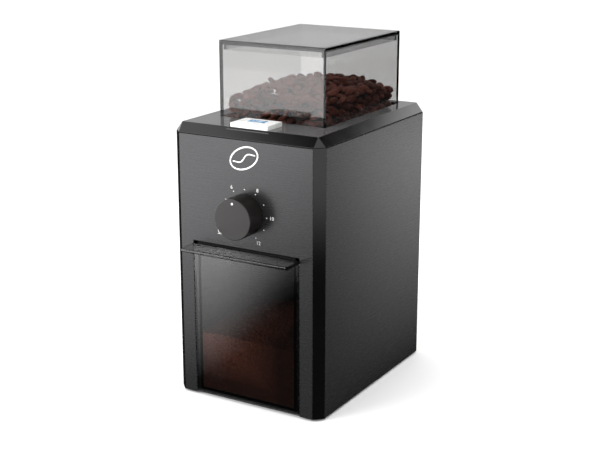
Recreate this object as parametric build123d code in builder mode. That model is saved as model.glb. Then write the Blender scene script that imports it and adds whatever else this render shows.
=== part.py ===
from build123d import *

import os
from math import acos, cos, pi, radians, sin, tan

# A household burr coffee grinder: clear bean hopper on top, flat steel burrs driven by a geared
# motor, and a clear grounds container that pulls out of the front.
# Millimetres. +Z up, the front face looks along -Y, and the origin lies on the table under the
# middle of the overall box. Every piece is its own solid in its own STEP file.

# ---------------------------------------------------------------- driving dimensions
WIDTH = 124.0
DEPTH = 165.0
FRONT = -74.0  # front face of the housing
BACK = FRONT + DEPTH
MIDDLE = (FRONT + BACK) / 2
HALF = WIDTH / 2
UNDERSIDE = 1.5  # underside of the housing, and height of the rubber feet
SEAM = 199.5  # joint between the housing walls and the top cover
LEDGE = 206.5  # flat ledge round the hopper
LID_TOP = 262.0
CORNER = 6.4  # leg of the bevel on the vertical corners
LEDGE_INSET = 5.8
SKIN = 1.2  # applied front and side panels
WALL = 2.0
REAR_PLATE = 2.0
SEAM_GAP = 0.3

INNER_X = HALF - SKIN - WALL
INNER_FRONT = FRONT + SKIN + WALL
INNER_BACK = BACK - REAR_PLATE - WALL
FACE_X = HALF - CORNER  # half width of the flat front and rear faces
SIDE_Y = (FRONT + CORNER, BACK - CORNER)  # flat stretch of the side faces

MILL = (0.0, 20.0)  # axis of the burrs and the hopper
GEAR_MODULE = 1.0
PINION_TEETH = 15
DRIVEN_TEETH = 45
RING_TEETH = 58
WHEEL_TEETH = 32
PRESSURE = radians(20)
BACKLASH = 0.12
MOTOR = (0.0, MILL[1] + (PINION_TEETH + DRIVEN_TEETH) * GEAR_MODULE / 2)
WHEEL = (-(RING_TEETH + WHEEL_TEETH) * GEAR_MODULE / 2, MILL[1])

HOPPER_X = 44.3
HOPPER_Y = (MILL[1] - 57.8, MILL[1] + 57.8)
HOPPER_WALL = 2.5
HOPPER_FOOT = 198.5
HOPPER_RIM = 259.0
FLOOR_TOP = 204.0
NECK_RADIUS = 14.7
THROAT_RADIUS = 12.0

BAY_TOP = 120.6  # lower edge of the front panel above the container
LIP_TOP = 118.8
LIP_FRONT = -BACK  # the pull lip balances the back of the housing about the origin
LIP_THICK = 2.5
CONTAINER_X = 41.7
CONTAINER_BACK = -2.5
PLATE_X = 44.3
PLATE_BACK = FRONT + 2.5

DIAL_Z = 146.0
DIAL_RADIUS = 15.0
DIAL_FACE = FRONT - 16.0
BUTTON_X = 15.2
BUTTON_Y = (-67.6, -47.8)
BUTTON_MID = (BUTTON_Y[0] + BUTTON_Y[1]) / 2
BUTTON_TOP = LEDGE + 3.2
POCKET_FLOOR = 202.8
GLAND_Z = 26.0
GLAND_BORE = 3.6

CORNER_BOSSES = [(x, y) for x in (-51.5, 51.5) for y in (-63.5, 80.5)]
REAR_BOSSES = [(x, z) for x in (-50.0, 50.0) for z in (50.0, 186.0)]
FEET = [(x, y) for x in (-44.0, 44.0) for y in (-50.0, 66.0)]
FRAME_POSTS = [(x, y) for x in (-37.0, 37.0) for y in (9.0, 79.0)]
BOARD_POSTS = [(x, z) for x in (-30.0, 30.0) for z in (132.0, 176.0)]
COVER_ANGLES = (50, 130, 230, 310)
COVER_POSTS = [
    (MILL[0] + 36.9 * cos(radians(a)), MILL[1] + 36.9 * sin(radians(a))) for a in COVER_ANGLES
]
BURR_SCREW_ANGLES = (90, 210, 330)

# Heights in the mill and gear stack.
CASE_FLOOR = (126.0, 129.0)
CASE_TOP = 143.0
GEAR_Z = (131.5, 139.5)
CHAMBER_FLOOR = 146.0
CHAMBER_RIM = 168.0
RING_Z = (168.3, 174.3)
COVER_Z = (177.0, 179.5)
LOWER_FACE = 157.0
UPPER_FACE = 157.6


# ---------------------------------------------------------------- helpers
def keep(piece, name):
    """Labels a finished piece and writes its STEP file."""
    piece.part.label = name
    export_step(piece.part, f"parts/{name}.step")


def block(x, y, z, mode=Mode.ADD):
    """A box between pairs of limits."""
    with Locations(((x[0] + x[1]) / 2, (y[0] + y[1]) / 2, (z[0] + z[1]) / 2)):
        Box(x[1] - x[0], y[1] - y[0], z[1] - z[0], mode=mode)


def rod(centre, radius, z, mode=Mode.ADD):
    """An upright cylinder between two heights."""
    with Locations((centre[0], centre[1], (z[0] + z[1]) / 2)):
        Cylinder(radius, z[1] - z[0], mode=mode)


def rod_y(x, z, radius, y, mode=Mode.ADD):
    """A cylinder along Y between two depths."""
    with Locations((x, (y[0] + y[1]) / 2, z)):
        Cylinder(radius, y[1] - y[0], rotation=(90, 0, 0), mode=mode)


def ring(centre, outer, inner, z):
    """An upright tube between two heights."""
    with BuildSketch(Plane(origin=(centre[0], centre[1], z[0]))) as face:
        Circle(outer)
        Circle(inner, mode=Mode.SUBTRACT)
    extrude(face.sketch, amount=z[1] - z[0])


def screw(centre, head, length):
    """A pan-head screw standing on its tip, its head's underside at height head."""
    rod(centre, 1.45, (head - length, head))
    rod(centre, 2.8, (head, head + 2.0))


def involute(angle):
    return tan(angle) - angle


def gear_face(teeth, phase=0.0):
    """A spur gear's face with a tooth centred at phase degrees from +X."""
    pitch = teeth * GEAR_MODULE / 2
    base = pitch * cos(PRESSURE)
    root = pitch - 1.25 * GEAR_MODULE
    tip = pitch + 0.95 * GEAR_MODULE
    start = max(base, root)
    half = (pi * GEAR_MODULE / 2 - BACKLASH) / (2 * pitch) + involute(PRESSURE)
    radii = [start + (tip - start) * step / 4 for step in range(5)]
    flank = [(r, half - involute(acos(base / r))) for r in radii]
    flank.insert(0, (root - 0.4, flank[0][1]))
    upper = [(r * cos(a), r * sin(a)) for r, a in flank]
    lower = [(x, -y) for x, y in reversed(upper)]
    with BuildSketch() as face:
        Circle(root)
        with PolarLocations(0, teeth, start_angle=phase):
            Polygon(*upper, *lower, align=None)
    return face.sketch


def octagon(half_x, y, corner):
    """A rectangle with bevelled corners, between two depths."""
    with Locations((0, (y[0] + y[1]) / 2)):
        outline = Rectangle(2 * half_x, y[1] - y[0])
    chamfer(outline.vertices(), corner)


def burr(inner, outer, z, cut_z, screws):
    """A flat burr ring with slanted cutting grooves and three counterbored screw holes."""
    ring(MILL, outer, inner, z)
    with BuildSketch(Plane(origin=(*MILL, cut_z))) as grooves:
        with PolarLocations(14.5, 12):
            Rectangle(9.0, 1.6, rotation=28)
        with PolarLocations(20.5, 30):
            Rectangle(7.5, 0.8, rotation=24)
    extrude(grooves.sketch, amount=1.0, mode=Mode.SUBTRACT)
    with Locations(Plane(origin=(*MILL, screws))):
        with PolarLocations(19.5, 3, start_angle=90):
            Cylinder(1.6, 20.0, mode=Mode.SUBTRACT)


os.makedirs("parts", exist_ok=True)

# ---------------------------------------------------------------- housing
# Sleeve of four walls with bevelled corners. Its faces are sunk for the applied panels.
with BuildPart() as body_shell:
    with BuildSketch(Plane.XY.offset(UNDERSIDE)):
        octagon(HALF, (FRONT, BACK), CORNER)
    extrude(amount=SEAM - UNDERSIDE)
    with BuildSketch(Plane.XY.offset(UNDERSIDE)):
        octagon(INNER_X, (INNER_FRONT, INNER_BACK), 4.5)
    extrude(amount=SEAM - UNDERSIDE, mode=Mode.SUBTRACT)
    full = (UNDERSIDE, SEAM)
    block((-FACE_X, FACE_X), (FRONT, FRONT + SKIN), full, Mode.SUBTRACT)
    block((-FACE_X, FACE_X), (BACK - REAR_PLATE, BACK), full, Mode.SUBTRACT)
    block((-HALF, -HALF + SKIN), SIDE_Y, full, Mode.SUBTRACT)
    block((HALF - SKIN, HALF), SIDE_Y, full, Mode.SUBTRACT)
    for x, y in CORNER_BOSSES:
        reach = (INNER_X + 0.5) if x > 0 else -(INNER_X + 0.5)
        block(sorted((x - (4 if x > 0 else -4), reach)), (y - 4.2, y + 4.2), (4.0, 40.0))
        rod((x, y), 1.5, (4.0, 24.0), Mode.SUBTRACT)
    for x, z in REAR_BOSSES:
        rod_y(x, z, 3.8, (INNER_BACK - 8, INNER_BACK + 0.5))
        rod_y(x, z, 1.5, (INNER_BACK - 8, BACK), Mode.SUBTRACT)
    for x, z in BOARD_POSTS:
        rod_y(x, z, 2.5, (INNER_FRONT - 0.5, -62.0))
    block((-44.7, 44.7), (FRONT, INNER_FRONT), (UNDERSIDE, BAY_TOP), Mode.SUBTRACT)
    rod_y(0, DIAL_Z, 4.2, (FRONT, INNER_FRONT), Mode.SUBTRACT)
    block((-43.0, 43.0), (INNER_BACK - 1, BACK), (60.0, 178.0), Mode.SUBTRACT)
    rod_y(0, GLAND_Z, 6.2, (INNER_BACK - 1, BACK), Mode.SUBTRACT)
    block((-HALF, -INNER_X + 1), (WHEEL[1] - 11, WHEEL[1] + 11), (166.6, 176.0), Mode.SUBTRACT)
keep(body_shell, "body_shell")

# Front panel: an upside-down U over the container, with the dial's hole.
with BuildPart() as front_fascia:
    with BuildSketch(Plane.XZ.offset(-(FRONT + SKIN))):
        with Locations((0, (UNDERSIDE + SEAM - SEAM_GAP) / 2)):
            Rectangle(2 * FACE_X - 0.2, SEAM - SEAM_GAP - UNDERSIDE)
        with Locations((0, (UNDERSIDE + BAY_TOP) / 2)):
            Rectangle(2 * 44.7, BAY_TOP - UNDERSIDE, mode=Mode.SUBTRACT)
        with Locations((0, DIAL_Z)):
            Circle(4.2, mode=Mode.SUBTRACT)
    extrude(amount=SKIN)
    fillet(front_fascia.faces().sort_by(Axis.Y)[0].outer_wire().edges(), 0.4)
keep(front_fascia, "front_fascia")


def side_panel(side):
    """A flat applied panel on one side: 1 right, -1 left. The left one is cut round the wheel."""
    with BuildPart() as panel:
        outer = side * HALF
        y = (SIDE_Y[0] + 0.1, SIDE_Y[1] - 0.1)
        block(sorted((outer, outer - side * SKIN)), y, (UNDERSIDE, SEAM - SEAM_GAP))
        face = panel.faces().sort_by(Axis.X)[-1 if side > 0 else 0]
        fillet(face.outer_wire().edges(), 0.4)
        if side < 0:
            with BuildSketch(Plane.YZ.offset(outer - 1)):
                with Locations((WHEEL[1], 171.3)):
                    RectangleRounded(36.0, 21.0, 8.0)
            extrude(amount=SKIN + 2, mode=Mode.SUBTRACT)
    return panel


keep(side_panel(-1), "left_side_panel")
keep(side_panel(1), "right_side_panel")

# Rear cover with cooling slots, four countersunk holes and the cord outlet.
with BuildPart() as rear_cover:
    block((-FACE_X + 0.1, FACE_X - 0.1), (BACK - REAR_PLATE, BACK), (UNDERSIDE, SEAM - SEAM_GAP))
    fillet(rear_cover.faces().sort_by(Axis.Y)[-1].outer_wire().edges(), 0.4)
    with BuildSketch(Plane.XZ.offset(-BACK)):
        with Locations((0, 118.0)):
            with GridLocations(38.0, 6.5, 2, 15):
                SlotOverall(32.0, 2.6)
    extrude(amount=REAR_PLATE, mode=Mode.SUBTRACT)
    rod_y(0, GLAND_Z, 6.2, (BACK - REAR_PLATE, BACK), Mode.SUBTRACT)
    rod_y(0, GLAND_Z, 8.7, (BACK - 1.2, BACK), Mode.SUBTRACT)
    for x, z in REAR_BOSSES:
        with Locations((x, BACK - 0.7, z)):
            Cone(3.2, 1.7, 1.4, rotation=(90, 0, 0), mode=Mode.SUBTRACT)
        rod_y(x, z, 1.7, (BACK - REAR_PLATE, BACK), Mode.SUBTRACT)
keep(rear_cover, "rear_cover")

# Bush that carries the mains cord through the back.
with BuildPart() as cord_gland:
    rod_y(0, GLAND_Z, 8.5, (BACK - 1.2, BACK))
    rod_y(0, GLAND_Z, 6.0, (BACK - 11.0, BACK - 1.2))
    rod_y(0, GLAND_Z, GLAND_BORE, (BACK - 11.0, BACK), Mode.SUBTRACT)
keep(cord_gland, "cord_gland")

# Bottom plate, screwed up into the corner bosses.
with BuildPart() as base_plate:
    with BuildSketch(Plane.XY.offset(UNDERSIDE)):
        octagon(INNER_X - 0.2, (INNER_FRONT + 0.2, INNER_BACK - 0.2), 4.5)
        with Locations(*FEET):
            Circle(2.3, mode=Mode.SUBTRACT)
        with Locations(*CORNER_BOSSES):
            Circle(1.7, mode=Mode.SUBTRACT)
        with Locations(MOTOR):
            with GridLocations(6.0, 0, 7, 1):
                SlotOverall(34.0, 2.6, rotation=90, mode=Mode.SUBTRACT)
    extrude(amount=2.5)
    for x, y in CORNER_BOSSES:
        with Locations((x, y, UNDERSIDE + 0.7)):
            Cone(3.2, 1.7, 1.4, mode=Mode.SUBTRACT)
keep(base_plate, "base_plate")

with BuildPart() as rubber_feet:
    for spot in FEET:
        rod(spot, 6.0, (0.0, UNDERSIDE))
        rod(spot, 2.2, (UNDERSIDE, 4.0))
    fillet(rubber_feet.edges().group_by(Axis.Z)[0], 0.4)
keep(rubber_feet, "rubber_feet")

# Countersunk screws: four up through the bottom plate, four through the rear cover.
with BuildPart() as housing_screws:
    for x, y in CORNER_BOSSES:
        with Locations((x, y, UNDERSIDE + 0.7)):
            Cone(3.1, 1.45, 1.4)
        rod((x, y), 1.45, (UNDERSIDE + 1.4, 16.0))
        block((x - 2, x + 2), (y - 0.4, y + 0.4), (UNDERSIDE, UNDERSIDE + 0.6), Mode.SUBTRACT)
    for x, z in REAR_BOSSES:
        with Locations((x, BACK - 0.7, z)):
            Cone(3.1, 1.45, 1.4, rotation=(90, 0, 0))
        rod_y(x, z, 1.45, (INNER_BACK - 7, BACK - 1.4))
        block((x - 2, x + 2), (BACK - 0.6, BACK), (z - 0.4, z + 0.4), Mode.SUBTRACT)
keep(housing_screws, "housing_screws")

# Top cover: bevelled ledge, a well that locates the hopper, and the start button's pocket.
with BuildPart() as top_cover:
    with BuildSketch(Plane.XY.offset(SEAM)):
        octagon(HALF, (FRONT, BACK), CORNER)
    with BuildSketch(Plane.XY.offset(LEDGE)):
        octagon(HALF - LEDGE_INSET, (FRONT + LEDGE_INSET, BACK - LEDGE_INSET), 0.1)
    loft(ruled=True)
    fillet(top_cover.edges().filter_by(Plane.XY).group_by(Axis.Z)[0], 0.3)
    block((-54.0, 54.0), (FRONT + 8, BACK - 8), (SEAM, LEDGE - 2.5), Mode.SUBTRACT)
    with BuildSketch(Plane.XY.offset(SEAM - 8)):
        octagon(INNER_X - 0.2, (INNER_FRONT + 0.2, INNER_BACK - 0.2), 4.5)
        octagon_inner = (INNER_FRONT + 1.8, INNER_BACK - 1.8)
        with Locations((0, (octagon_inner[0] + octagon_inner[1]) / 2)):
            Rectangle(
                2 * (INNER_X - 1.8), octagon_inner[1] - octagon_inner[0], mode=Mode.SUBTRACT
            )
    extrude(amount=8.2)
    block((-46.5, 46.5), (HOPPER_Y[0] - 2.2, HOPPER_Y[1] + 2.2), (196.0, LEDGE - 1))
    well = (HOPPER_Y[0] - 0.4, HOPPER_Y[1] + 0.4)
    block((-44.7, 44.7), well, (198.2, LEDGE), Mode.SUBTRACT)
    block((-39.5, 39.5), (HOPPER_Y[0] + 4.8, HOPPER_Y[1] - 4.8), (195.0, 199.0), Mode.SUBTRACT)
    rod((43.05, MILL[1]), 1.5, (195.0, 199.0), Mode.SUBTRACT)
    block((46.2, 48.2), (MILL[1] - 8, MILL[1] + 8), (181.0, LEDGE - 1))
    block((-17.4, 17.4), (BUTTON_Y[0] - 2, BUTTON_Y[1] + 2.2), (200.8, LEDGE - 1))
    block((-15.6, 15.6), (BUTTON_Y[0] - 0.3, BUTTON_Y[1] + 0.4), (POCKET_FLOOR, LEDGE), Mode.SUBTRACT)
    for x in (-12.5, 12.5):
        rod((x, BUTTON_MID), 2.2, (188.0, 201.0))
    rod((0, BUTTON_MID), 2.8, (200.0, 203.0), Mode.SUBTRACT)
keep(top_cover, "top_cover")

# Liner of the bay that the container slides into.
with BuildPart() as container_bay:
    block((-44.0, 44.0), (INNER_FRONT, 0.5), (4.0, BAY_TOP + 1.8))
    block((-50.0, 50.0), (INNER_FRONT, INNER_FRONT + 1.4), (4.0, BAY_TOP + 5))
    block((-42.2, 42.2), (-71.3, -1.5), (3.9, BAY_TOP), Mode.SUBTRACT)
    block((-10.6, 10.6), (-35.6, -12.8), (BAY_TOP, BAY_TOP + 2), Mode.SUBTRACT)
    rod_y(0, 60.0, 1.6, (-2.0, 1.0), Mode.SUBTRACT)
keep(container_bay, "container_bay")

# ---------------------------------------------------------------- inner frame and mill housing
with BuildPart() as chassis_frame:
    block((-44.0, 44.0), (2.5, 84.0), (4.0, 6.5))
    block((-30.0, 30.0), (18.0, 82.0), (4.0, 6.5), Mode.SUBTRACT)
    for spot in FRAME_POSTS:
        rod(spot, 4.5, (6.5, CASE_FLOOR[0]))
        rod(spot, 1.5, (104.0, CASE_FLOOR[0]), Mode.SUBTRACT)
keep(chassis_frame, "chassis_frame")

# Tray that holds both gears and hangs the motor.
with BuildPart() as gear_case:
    block((-42.0, 42.0), (-12.0, 84.0), (CASE_FLOOR[0], CASE_TOP))
    block((-39.5, 39.5), (-9.5, 81.5), (CASE_FLOOR[1], CASE_TOP), Mode.SUBTRACT)
    for spot in FRAME_POSTS:
        rod(spot, 4.2, (CASE_FLOOR[0], CASE_TOP))
    rod(MILL, 9.0, (CASE_FLOOR[0], 131.0))
    rod(MILL, 6.5, (126.8, 131.0), Mode.SUBTRACT)
    rod(MOTOR, 8.3, CASE_FLOOR, Mode.SUBTRACT)
    for x in (-12.5, 12.5):
        rod((x, MOTOR[1]), 1.6, CASE_FLOOR, Mode.SUBTRACT)
    for spot in FRAME_POSTS:
        rod(spot, 1.6, (CASE_FLOOR[0], CASE_TOP), Mode.SUBTRACT)
keep(gear_case, "gear_case")

# Burr chamber on its flange, with the guide for the upper carrier and the cover's posts.
with BuildPart() as burr_chamber:
    block((-42.0, 42.0), (-12.0, 84.0), (CASE_TOP, CHAMBER_FLOOR))
    rod(MILL, 33.0, (CASE_TOP, CHAMBER_RIM))
    for spot in COVER_POSTS:
        rod(spot, 4.0, (CASE_TOP, COVER_Z[0]))
    rod(WHEEL, 5.0, (158.0, 167.6))
    block((WHEEL[0], MILL[0] - 28), (WHEEL[1] - 3, WHEEL[1] + 3), (158.0, 166.0))
    rod(MILL, 30.0, (CHAMBER_FLOOR, 160.0), Mode.SUBTRACT)
    rod(MILL, 26.0, (160.0, CHAMBER_RIM), Mode.SUBTRACT)
    rod(MILL, 7.0, (CASE_TOP, CHAMBER_FLOOR), Mode.SUBTRACT)
    block((-2.8, 2.8), (MILL[1] - 28.8, MILL[1] + 28.8), (160.0, CHAMBER_RIM), Mode.SUBTRACT)
    block((-8.5, 8.5), (MILL[1] - 34, MILL[1] - 25), (CHAMBER_FLOOR, 158.0), Mode.SUBTRACT)
    rod(WHEEL, 2.6, (161.0, 168.0), Mode.SUBTRACT)
    for spot in FRAME_POSTS:
        rod(spot, 1.6, (CASE_TOP, CHAMBER_FLOOR), Mode.SUBTRACT)
    for spot in COVER_POSTS:
        rod(spot, 1.5, (COVER_Z[0] - 12, COVER_Z[0]), Mode.SUBTRACT)
keep(burr_chamber, "burr_chamber")

# Cover over the adjusting ring, with the collar that the hopper's neck drops into.
with BuildPart() as mill_cover:
    rod(MILL, 35.0, COVER_Z)
    for spot in COVER_POSTS:
        rod(spot, 4.0, COVER_Z)
    rod(WHEEL, 5.0, COVER_Z)
    block((WHEEL[0], MILL[0] - 30), (WHEEL[1] - 5, WHEEL[1] + 5), COVER_Z)
    rod(MILL, 17.0, (COVER_Z[1], 184.0))
    rod(MILL, NECK_RADIUS + 0.4, (COVER_Z[1], 184.0), Mode.SUBTRACT)
    rod(MILL, 12.5, COVER_Z, Mode.SUBTRACT)
    rod(WHEEL, 2.6, COVER_Z, Mode.SUBTRACT)
    for spot in COVER_POSTS:
        rod(spot, 1.6, COVER_Z, Mode.SUBTRACT)
keep(mill_cover, "mill_cover")

# Chute from the chamber's outlet down through the bay's ceiling.
with BuildPart() as grounds_chute:
    block((-10.2, 10.2), (-35.2, -13.2), (120.9, 160.0))
    block((-10.2, 10.2), (-13.2, -6.0), (CHAMBER_FLOOR, 160.0))
    block((-8.6, 8.6), (-33.6, -14.8), (120.0, 158.2), Mode.SUBTRACT)
    block((-8.5, 8.5), (-15.0, -5.0), (CHAMBER_FLOOR + 0.1, 158.0), Mode.SUBTRACT)
    rod(MILL, 33.0, (CHAMBER_FLOOR - 1, 162.0), Mode.SUBTRACT)
keep(grounds_chute, "grounds_chute")

# Screws that hold the mill stack to the frame, the cover to the chamber and the motor to the case.
with BuildPart() as mill_screws:
    for spot in FRAME_POSTS:
        screw(spot, CHAMBER_FLOOR, 38.0)
    for spot in COVER_POSTS:
        screw(spot, COVER_Z[1], 12.0)
    for x in (-12.5, 12.5):
        screw((x, MOTOR[1]), CASE_FLOOR[1], 7.0)
keep(mill_screws, "mill_screws")

with BuildPart() as burr_shaft_bushes:
    ring(MILL, 6.5, 4.05, (126.8, 131.0))
    ring(MILL, 7.0, 4.05, (141.5, CHAMBER_FLOOR))
keep(burr_shaft_bushes, "burr_shaft_bushes")

# ---------------------------------------------------------------- motor, fixed parts
CAN_Z = (62.0, CASE_FLOOR[0])
with BuildPart() as motor_can:
    rod(MOTOR, 26.5, CAN_Z)
    rod(MOTOR, 24.5, (CAN_Z[0], CAN_Z[1] - 2.5), Mode.SUBTRACT)
    rod(MOTOR, 8.0, (CAN_Z[1], CASE_FLOOR[1]))
    rod(MOTOR, 6.0, (CAN_Z[1] - 3, CASE_FLOOR[1]), Mode.SUBTRACT)
    for x in (-12.5, 12.5):
        rod((x, MOTOR[1]), 1.5, (CAN_Z[1] - 3, CAN_Z[1]), Mode.SUBTRACT)
keep(motor_can, "motor_can")

with BuildPart() as motor_end_cap:
    rod(MOTOR, 26.5, (54.0, CAN_Z[0]))
    rod(MOTOR, 22.5, (57.0, CAN_Z[0]), Mode.SUBTRACT)
    rod(MOTOR, 8.5, (51.0, 60.0))
    rod(MOTOR, 6.0, (51.0, 60.0), Mode.SUBTRACT)
    for x in (-12.0, 12.0):
        block((x - 4.2, x + 4.2), (MOTOR[1] - 3.4, MOTOR[1] + 3.4), (57.0, 63.0))
    with Locations((*MOTOR, 55.5)):
        with PolarLocations(16.0, 6, start_angle=30):
            Cylinder(2.4, 3.0, mode=Mode.SUBTRACT)
keep(motor_end_cap, "motor_end_cap")

with BuildPart() as motor_bushes:
    ring(MOTOR, 6.0, 2.55, (51.0, 58.0))
    ring(MOTOR, 6.0, 2.55, (CAN_Z[1] - 2.5, CASE_FLOOR[1]))
keep(motor_bushes, "motor_bushes")

# Two arc magnets on the can's wall.
with BuildPart() as motor_magnets:
    ring(MOTOR, 24.4, 18.6, (74.0, 114.0))
    block((-27.0, 27.0), (MOTOR[1] - 9, MOTOR[1] + 9), (73.0, 115.0), Mode.SUBTRACT)
keep(motor_magnets, "motor_magnets")

with BuildPart() as motor_brushes:
    for side in (-1, 1):
        x = sorted((side * 7.8, side * 16.0))
        block(x, (MOTOR[1] - 2.4, MOTOR[1] + 2.4), (63.0, 67.0))
keep(motor_brushes, "motor_brushes")

# ---------------------------------------------------------------- motor, turning parts
with BuildPart() as motor_shaft:
    rod(MOTOR, 2.5, (42.0, 141.0))
    chamfer(motor_shaft.edges().group_by(Axis.Z)[-1], 0.5)
keep(motor_shaft, "motor_shaft")

# Laminated core with seven winding slots.
with BuildPart() as armature_core:
    ring(MOTOR, 18.0, 2.5, (78.0, 110.0))
    with Locations((*MOTOR, 94.0)):
        with PolarLocations(17.5, 7, start_angle=90):
            Box(3.0, 2.0, 32.0, mode=Mode.SUBTRACT)
        with PolarLocations(12.5, 7, start_angle=90):
            Cylinder(3.6, 32.0, mode=Mode.SUBTRACT)
keep(armature_core, "armature_core")

# Copper coils: seven bundles through the slots, joined by a rounded crown at each end.
with BuildPart() as armature_windings:
    for z in ((70.0, 78.0), (110.0, 117.0)):
        ring(MOTOR, 16.0, 3.6, z)
    fillet(armature_windings.edges().filter_by(GeomType.CIRCLE).sort_by(SortBy.RADIUS)[-4:], 2.4)
    with Locations((*MOTOR, 94.0)):
        with PolarLocations(12.5, 7, start_angle=90):
            Cylinder(3.2, 34.0)
keep(armature_windings, "armature_windings")

with BuildPart() as commutator:
    ring(MOTOR, 7.5, 2.5, (60.5, 69.0))
    with Locations((*MOTOR, 64.5)):
        with PolarLocations(7.5, 7):
            Box(1.2, 0.4, 7.0, mode=Mode.SUBTRACT)
keep(commutator, "commutator")

with BuildPart() as cooling_fan:
    ring(MOTOR, 6.0, 2.5, (42.5, 49.5))
    ring(MOTOR, 22.0, 5.5, (42.5, 44.0))
    with Locations((*MOTOR, 46.7)):
        with PolarLocations(14.0, 11):
            Box(15.0, 1.2, 5.6, rotation=(0, 0, 25))
keep(cooling_fan, "cooling_fan")

with BuildPart() as pinion_gear:
    with BuildSketch(Plane(origin=(*MOTOR, GEAR_Z[0] - 0.5))):
        add(gear_face(PINION_TEETH, -90 + 180 / PINION_TEETH))
        Circle(2.5, mode=Mode.SUBTRACT)
    extrude(amount=GEAR_Z[1] - GEAR_Z[0] + 1.0)
keep(pinion_gear, "pinion_gear")

# ---------------------------------------------------------------- mill, turning parts
with BuildPart() as burr_shaft:
    rod(MILL, 4.0, (127.1, 162.0))
    chamfer(burr_shaft.edges().group_by(Axis.Z)[-1], 0.6)
keep(burr_shaft, "burr_shaft")

with BuildPart() as driven_gear:
    with BuildSketch(Plane(origin=(*MILL, GEAR_Z[0]))):
        add(gear_face(DRIVEN_TEETH, 90))
    extrude(amount=GEAR_Z[1] - GEAR_Z[0])
    with Locations((*MILL, GEAR_Z[0] + 1.2), (*MILL, GEAR_Z[1] - 1.2)):
        Cylinder(18.5, 2.4, mode=Mode.SUBTRACT)
    rod(MILL, 8.0, (GEAR_Z[0] - 0.2, GEAR_Z[1] + 1.5))
    rod(MILL, 4.0, (GEAR_Z[0] - 1, GEAR_Z[1] + 2), Mode.SUBTRACT)
    with Locations((*MILL, GEAR_Z[0] + 4)):
        with PolarLocations(13.2, 6):
            Cylinder(3.4, 10.0, mode=Mode.SUBTRACT)
keep(driven_gear, "driven_gear")

# Carrier disc with sweeping vanes that push the grounds round to the outlet.
with BuildPart() as lower_burr_carrier:
    rod(MILL, 25.0, (147.0, 152.0))
    rod(MILL, 11.6, (152.0, 155.5))
    with Locations((*MILL, 149.5)):
        with PolarLocations(26.0, 4, start_angle=45):
            Box(6.0, 2.4, 5.0)
    rod(MILL, 4.0, (146.0, 156.0), Mode.SUBTRACT)
    with Locations((*MILL, 150.0)):
        with PolarLocations(19.5, 3, start_angle=90):
            Cylinder(1.5, 8.0, mode=Mode.SUBTRACT)
keep(lower_burr_carrier, "lower_burr_carrier")

with BuildPart() as lower_burr:
    burr(11.6, 24.0, (152.0, LOWER_FACE), LOWER_FACE - 1.0, 154.0)
    with Locations((*MILL, LOWER_FACE - 1.2)):
        with PolarLocations(19.5, 3, start_angle=90):
            Cylinder(3.0, 2.4, mode=Mode.SUBTRACT)
keep(lower_burr, "lower_burr")


def burr_screws(head_z, tip_z):
    """Three burr screws, their heads between the two head heights and their tips at tip_z."""
    with BuildPart() as screws:
        for angle in BURR_SCREW_ANGLES:
            spot = (
                MILL[0] + 19.5 * cos(radians(angle)),
                MILL[1] + 19.5 * sin(radians(angle)),
            )
            rod(spot, 2.8, head_z)
            rod(spot, 1.45, sorted((tip_z, head_z[0] if tip_z < head_z[0] else head_z[1])))
    return screws


keep(burr_screws((LOWER_FACE - 2.4, LOWER_FACE - 0.4), 147.5), "lower_burr_screws")

# Nut with three vanes that draws the beans down between the burrs.
with BuildPart() as feed_cone:
    with Locations((*MILL, 160.2)):
        Cone(8.6, 4.6, 9.4)
        with PolarLocations(6.6, 3):
            Box(6.0, 2.0, 7.0, rotation=(0, 20, 15))
    block((-12, 12), (MILL[1] - 12, MILL[1] + 12), (150.0, 155.5), Mode.SUBTRACT)
    rod(MILL, 4.0, (150.0, 162.0), Mode.SUBTRACT)
    fillet(feed_cone.faces().sort_by(Axis.Z)[-1].edges(), 1.0)
keep(feed_cone, "feed_cone")

# ---------------------------------------------------------------- fineness adjustment
# Upper carrier: keyed so that it can't turn, and raised or lowered by the ring round it.
with BuildPart() as upper_burr_carrier:
    rod(MILL, 25.6, (163.0, 173.8))
    for side in (-1, 1):
        y = sorted((MILL[1] + side * 24, MILL[1] + side * 28.3))
        block((-2.4, 2.4), y, (162.8, 166.8))
    rod(MILL, 11.6, (162.0, 175.0), Mode.SUBTRACT)
    with Locations((*MILL, 170.8)):
        Cone(11.6, 20.0, 6.2, mode=Mode.SUBTRACT)
    with Locations((*MILL, 165.0)):
        with PolarLocations(19.5, 3, start_angle=90):
            Cylinder(1.5, 5.0, mode=Mode.SUBTRACT)
keep(upper_burr_carrier, "upper_burr_carrier")

with BuildPart() as upper_burr:
    burr(11.6, 24.0, (UPPER_FACE, 163.0), UPPER_FACE, 160.0)
    with Locations((*MILL, UPPER_FACE + 1.2)):
        with PolarLocations(19.5, 3, start_angle=90):
            Cylinder(3.0, 2.4, mode=Mode.SUBTRACT)
keep(upper_burr, "upper_burr")
keep(burr_screws((UPPER_FACE + 0.4, UPPER_FACE + 2.4), 167.0), "upper_burr_screws")

with BuildPart() as adjustment_ring:
    with BuildSketch(Plane(origin=(*MILL, RING_Z[0]))):
        add(gear_face(RING_TEETH, 180))
        Circle(25.9, mode=Mode.SUBTRACT)
    extrude(amount=RING_Z[1] - RING_Z[0])
keep(adjustment_ring, "adjustment_ring")

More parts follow.
